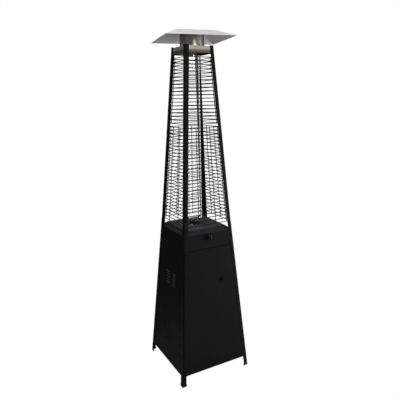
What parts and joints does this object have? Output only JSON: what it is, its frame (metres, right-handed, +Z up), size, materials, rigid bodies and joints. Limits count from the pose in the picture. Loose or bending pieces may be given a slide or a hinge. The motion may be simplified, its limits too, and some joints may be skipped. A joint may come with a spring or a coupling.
{
  "type": "outdoor heater",
  "caption": "Tall pyramid gas patio heater: glass flame tube inside wire guards over a closed cabinet, under a square reflector.",
  "frame": {"origin": "on the floor under the middle of the tower", "axes": "+Z up, -Y towards the control knob and door, +X to the right of a person facing the door"},
  "size_m": [0.523, 0.523, 2.278],
  "materials": {
    "post_paint": "satin black powder coat",
    "panel_paint": "satin black powder coat",
    "shelf_paint": "satin black powder coat",
    "platform_paint": "satin dark grey powder coat",
    "guard_paint": "satin dark powder-coated wire",
    "hinge_paint": "satin black",
    "foot_rubber": "matte moulded",
    "knob_plastic": "matte black",
    "dial_metal": "dark satin, no markings",
    "door_knob_metal": "black",
    "brass": "turned",
    "machined_steel": "machined",
    "pipe_aluminium": "drawn",
    "burner_steel": "heat-tinted stainless",
    "ceramic": "glazed ceramic",
    "tube_glass": "clear borosilicate",
    "gasket": "heat-proof gasket",
    "plate_steel": "satin",
    "screen_steel": "perforated sheet, heat-tinted",
    "reflector_aluminium": "satin sheet",
    "fixing_steel": "zinc plated",
    "black_fixing": "blackened steel"
  },
  "bodies": {
    "root": {"back_panel": "panel_paint", "base_shelf": "shelf_paint", "burner_bracket": "burner_steel", "burner_cup": "burner_steel", "burner_platform": "platform_paint", "burner_screen": "burner_steel", "burner_tray": "platform_paint", "control_fascia": "panel_paint", "dial_ring": "dial_metal", "door_magnet": "knob_plastic", "flame_screen": "screen_steel", "flame_screen_cap": "screen_steel", "foot_pad_back_left": "foot_rubber", "foot_pad_back_right": "foot_rubber", "foot_pad_front_left": "foot_rubber", "foot_pad_front_right": "foot_rubber", "gas_injector": "brass", "gas_pipe": "pipe_aluminium", "gas_valve": "brass", "glass_tube": "tube_glass", "guard_screws": "black_fixing", "hinge_fixed_leaf": "hinge_paint", "hinge_pin": "machined_steel", "igniter_electrode": "ceramic", "left_panel": "panel_paint", "lower_guard_back": "guard_paint", "lower_guard_front": "guard_paint", "lower_guard_left": "guard_paint", "lower_guard_right": "guard_paint", "lower_leg_back_left": "post_paint", "lower_leg_back_right": "post_paint", "lower_leg_front_left": "post_paint", "lower_leg_front_right": "post_paint", "panel_screws": "black_fixing", "pilot_burner": "machined_steel", "plate_screws": "black_fixing", "post_screws": "black_fixing", "reflector": "reflector_aluminium", "reflector_nuts": "fixing_steel", "reflector_studs": "fixing_steel", "right_panel": "panel_paint", "thermocouple": "burner_steel", "top_plate": "plate_steel", "tube_collar": "gasket", "tube_seat_ring": "burner_steel", "upper_guard_back": "guard_paint", "upper_guard_front": "guard_paint", "upper_guard_left": "guard_paint", "upper_guard_right": "guard_paint", "upper_post_back_left": "post_paint", "upper_post_back_right": "post_paint", "upper_post_front_left": "post_paint", "upper_post_front_right": "post_paint"},
    "door": {"door_panel": "panel_paint", "door_knob": "door_knob_metal", "hinge_door_leaf": "hinge_paint", "door_strike_plate": "machined_steel"},
    "valve_plug": {"valve_plug": "brass"},
    "knob": {"control_knob": "knob_plastic", "valve_stem": "machined_steel"}
  },
  "joints": [
    {"name": "door_swing", "type": "hinge", "parent": "root", "child": "door", "pos_m": [-0.21604, -0.22483, 0.49023], "axis": [-0.08, -0.08, -0.9936], "range_deg": [0, 110]},
    {"name": "knob_turn", "type": "hinge", "parent": "root", "child": "valve_plug", "pos_m": [0, -0.18242, 0.982], "axis": [0, -0.9968, 0.0803], "range_deg": [0, 180]},
    {"name": "knob_push", "type": "slide", "parent": "valve_plug", "child": "knob", "axis": [0, 0.9968, -0.0803], "range_m": [0, 0.005], "stiffness_N_per_m": 400, "springref_m": -0.004}
  ]
}
